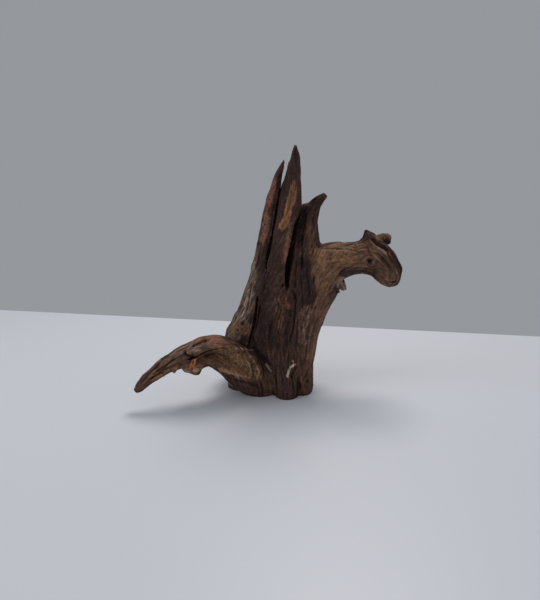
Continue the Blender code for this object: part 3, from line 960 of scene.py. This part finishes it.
def build_wood():
    """The finished wood: its skin, grain, strokes, relief and tones."""
    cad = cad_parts["dry_root"]
    tree = tree_of(cad.data)
    skin, joined_tree = fine_mesh(cad.data, tree)
    wood = Wood(skin)
    wood.points = wood.softened(wood.points, 1)
    wood.measure()

    flow = carried_flow(wood, *grain_flow(cad.data), knot_places(tree))
    table = grain_table(wood, flow)
    fields = {}
    for name, (size, seed, half_steps) in STREAKS.items():
        fields[name] = drawn_out(table, lattice_noise(wood.points, size, seed), half_steps)
    dents = lattice_noise(wood.points, 11 * MM, 8)
    cluster = smooth_step(lattice_noise(wood.points, 22 * MM, 9), -0.2, 0.6)
    cracks = cracks_of(table, wood.points, *SHORT_CRACKS) * cluster
    long_cracks = cracks_of(table, wood.points, *LONG_CRACKS)
    masks = patch_masks(wood, joined_tree, fields["medium"])

    push, recess_shade = carve(wood, tree)
    wood.shift(push)
    recess_shade = np.maximum(recess_shade, carve_relief(wood, fields, masks, cracks, long_cracks, dents))
    # The painted shade of the strokes, knots and cracks joins the tone of painted shade.
    masks["recess_shade"] = np.maximum(masks["recess_shade"], recess_shade)
    level = wood.softened(wood.points, 14)
    fields["hollow"] = dots(level - wood.points, wood.normals) / MM

    root = bpy.data.objects.new("root_wood", finished_mesh(wood, {**fields, **masks}))
    bpy.context.scene.collection.objects.link(root)
    return root


class Nodes:
    """A short way to write a node tree."""

    def __init__(self, material):
        material.use_nodes = True
        self.tree = material.node_tree
        self.surface = self.tree.nodes["Principled BSDF"]

    def add(self, kind, inputs=None, **settings):
        """A new node with these settings, its inputs linked or given values."""
        node = self.tree.nodes.new(kind)
        for key, value in settings.items():
            setattr(node, key, value)
        for key, value in (inputs or {}).items():
            self.put(node.inputs[key], value)
        return node

    def put(self, socket, value):
        """Links a socket to the value, or sets it."""
        if isinstance(value, bpy.types.NodeSocket):
            self.tree.links.new(value, socket)
        else:
            socket.default_value = value

    def field(self, name):
        """A value that was written on the mesh's points."""
        return self.add("ShaderNodeAttribute", attribute_name=name).outputs["Fac"]

    def maths(self, operation, *values):
        """One step of arithmetic."""
        return self.add("ShaderNodeMath", dict(enumerate(values)), operation=operation).outputs[0]

    def times(self, first, second):
        """The product of the two values."""
        return self.maths("MULTIPLY", first, second)

    def centred(self, noise, weight, base):
        """The base raised where the noise is above its middle and lowered where it is below."""
        return self.maths("MULTIPLY_ADD", self.maths("SUBTRACT", noise, 0.5), weight, base)

    def ranged(self, value, low, high, bottom=0.0, top=1.0):
        """The value taken from the range low to high to the range bottom to top."""
        inputs = {"Value": value, "From Min": low, "From Max": high, "To Min": bottom, "To Max": top}
        return self.add("ShaderNodeMapRange", inputs).outputs["Result"]

    def mixed(self, share, first, second, blend="MIX"):
        """The first colour with a share of the second laid on it."""
        node = self.add("ShaderNodeMix", {"Factor": share}, data_type="RGBA", blend_type=blend)
        self.put(node.inputs[6], first)
        self.put(node.inputs[7], second)
        return node.outputs[2]

    def noise(self, stretch, scale, detail):
        """Noise that is fixed to the object."""
        place = self.add("ShaderNodeTexCoord").outputs["Object"]
        mapped = self.add("ShaderNodeMapping", {"Vector": place, "Scale": stretch}).outputs["Vector"]
        inputs = {"Vector": mapped, "Scale": scale, "Detail": detail, "Roughness": 0.6}
        return self.add("ShaderNodeTexNoise", inputs).outputs["Fac"]


def toned(nodes, medium, mottle, spots):
    """The heart's colour under every tone. Streaks and spots break up all but the smooth tones."""
    colour = (*HEART, 1)
    for tone, value in TONES.items():
        mask = nodes.field(tone)
        if tone not in SMOOTH_TONES:
            streaked = nodes.maths("MULTIPLY_ADD", medium, 0.12, mask)
            streaked = nodes.maths("MULTIPLY_ADD", mottle, 0.13, streaked)
            spotted = nodes.centred(spots, 1.1, streaked)
            mask = nodes.times(nodes.ranged(spotted, 0.08, 0.82), nodes.ranged(mask, 0.0, 0.3))
        colour = nodes.mixed(mask, colour, (*value, 1))
    return colour


def crusted(nodes, colour):
    """The colour with the dry crust's crumbs and holes on it."""
    crust = nodes.noise((1, 1, 1), 330, 4)
    cover = 0.0
    for tone, share in CRUST_SHARES.items():
        cover = nodes.maths("MAXIMUM", cover, nodes.times(nodes.field(tone), share))
    crumbs = nodes.times(nodes.ranged(crust, 0.52, 0.64), nodes.times(cover, 0.55))
    colour = nodes.mixed(crumbs, colour, CRUMB_COLOUR)
    holes = nodes.times(nodes.ranged(crust, 0.48, 0.38), nodes.times(cover, 0.7))
    return nodes.mixed(holes, colour, HOLE_COLOUR)


def tinted(nodes, colour):
    """The colour with redder and more olive places in it."""
    warmth = nodes.noise((1, 1, 0.6), 110, 3)
    reddish = nodes.times(nodes.ranged(warmth, 0.52, 0.75), 0.45)
    colour = nodes.mixed(reddish, colour, RED_TINT, "MULTIPLY")
    olive = nodes.times(nodes.ranged(warmth, 0.48, 0.25), 0.45)
    return nodes.mixed(olive, colour, OLIVE_TINT, "MULTIPLY")


def shaded(nodes, colour, fields, speckle):
    """The colour lightened and darkened by the grain, with painted shade in the hollows and painted light
    on what stands out.
    """
    grain = 1.0
    for name, weight in STREAK_WEIGHTS.items():
        grain = nodes.maths("MULTIPLY_ADD", fields[name], weight, grain)
    grain = nodes.centred(speckle, SPECKLE_WEIGHT, grain)
    grain = nodes.centred(nodes.noise((1, 1, 0.5), 70, 4), CLOUD_WEIGHT, grain)
    # Painted shade and light: darker where the surface sinks below its neighbours, lighter where it stands
    # proud.
    hollow_shade = nodes.ranged(fields["hollow"], -0.35, 0.45, 1.25, 0.55)
    shade = nodes.times(nodes.ranged(grain, 0.25, 2.0, 0.25, 2.0), hollow_shade)
    channels = {"Red": shade, "Green": shade, "Blue": shade}
    shade_colour = nodes.add("ShaderNodeCombineColor", channels).outputs[0]
    return nodes.mixed(1.0, colour, shade_colour, "MULTIPLY")


def wood_material():
    """Old dry wood: its tones, crust, grain and flecks, dull and finely rough."""
    material = bpy.data.materials.new("dry_wood")
    nodes = Nodes(material)
    speckle = nodes.noise((1, 1, 1), 650, 5)
    spots = nodes.noise((1, 1, 0.6), 260, 3)
    fields = {name: nodes.field(name) for name in (*STREAKS, "hollow")}

    colour = toned(nodes, fields["medium"], fields["mottle"], spots)
    colour = tinted(nodes, crusted(nodes, colour))
    colour = shaded(nodes, colour, fields, speckle)
    fleck = nodes.times(nodes.ranged(spots, 0.60, 0.72), nodes.ranged(fields["hollow"], 0.25, -0.15))
    colour = nodes.mixed(nodes.times(fleck, 0.35), colour, FLECK_COLOUR)
    nodes.put(nodes.surface.inputs["Base Color"], colour)

    roughness = nodes.ranged(nodes.maths("MULTIPLY_ADD", spots, 0.6, speckle), 0.5, 1.1, 0.60, 0.86)
    nodes.put(nodes.surface.inputs["Roughness"], roughness)
    nodes.put(nodes.surface.inputs["Specular IOR Level"], 0.13)
    height = nodes.maths("MULTIPLY_ADD", speckle, 0.8, spots)
    height = nodes.maths("MULTIPLY_ADD", fields["fine"], 0.12, height)
    bump = nodes.add("ShaderNodeBump", {"Height": height, "Strength": 0.5, "Distance": 0.4 * MM})
    nodes.put(nodes.surface.inputs["Normal"], bump.outputs["Normal"])
    return material


def build_table():
    """A pale table top whose far edge lies a little askew behind the root."""
    left, right = np.array(TABLE_BACK_LEFT), np.array(TABLE_BACK_RIGHT)
    along = (right - left) / np.linalg.norm(right - left)
    middle = (left + right) / 2
    corners = [middle - along * TABLE_REACH, middle + along * TABLE_REACH]
    corners += [corners[1] - (0, TABLE_REACH), corners[0] - (0, TABLE_REACH)]
    shape = bmesh.new()
    shape.faces.new([shape.verts.new((*corner, CAD_LOW[2])) for corner in corners])
    bmesh.ops.recalc_face_normals(shape, faces=shape.faces)
    table = bpy.data.objects.new("table", mesh_of(shape, "table"))
    bpy.context.scene.collection.objects.link(table)
    material = bpy.data.materials.new("table")
    nodes = Nodes(material)
    nodes.put(nodes.surface.inputs["Base Color"], TABLE_COLOUR)
    nodes.put(nodes.surface.inputs["Roughness"], TABLE_ROUGHNESS)
    table.data.materials.append(material)
    table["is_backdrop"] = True


def add_lamp(name, place, target, size, power, colour):
    """A round soft lamp at a place, turned to its target."""
    lamp = bpy.data.lights.new(name, "AREA")
    lamp.shape = "DISK"
    lamp.size = size
    lamp.energy = power
    lamp.color = colour
    light = bpy.data.objects.new(name, lamp)
    light.location = place
    light.rotation_euler = (Vector(target) - Vector(place)).to_track_quat("-Z", "Y").to_euler()
    bpy.context.scene.collection.objects.link(light)


def build_view():
    """The camera, the room's even light and the lamps."""
    scene = bpy.context.scene
    lens = bpy.data.cameras.new("camera")
    lens.lens = CAMERA_LENS
    lens.sensor_width = SENSOR_WIDTH
    camera = bpy.data.objects.new("camera", lens)
    camera.location = CAMERA_PLACE
    camera.rotation_euler = (CAMERA_TIP, 0, 0)
    scene.collection.objects.link(camera)
    scene.camera = camera
    world = bpy.data.worlds.new("room")
    world.use_nodes = True
    world.node_tree.nodes["Background"].inputs["Color"].default_value = ROOM_COLOUR
    scene.world = world
    scene.view_settings.view_transform = "Standard"
    middle = (CAD_LOW + CAD_HIGH) / 2
    for name, (offset, size, power, colour) in LAMPS.items():
        add_lamp(name, middle + offset, middle, size, power, colour)


build_table()
build_view()
root = build_wood()
root.data.materials.clear()
root.data.materials.append(wood_material())
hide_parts("dry_root")
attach(root, "root")
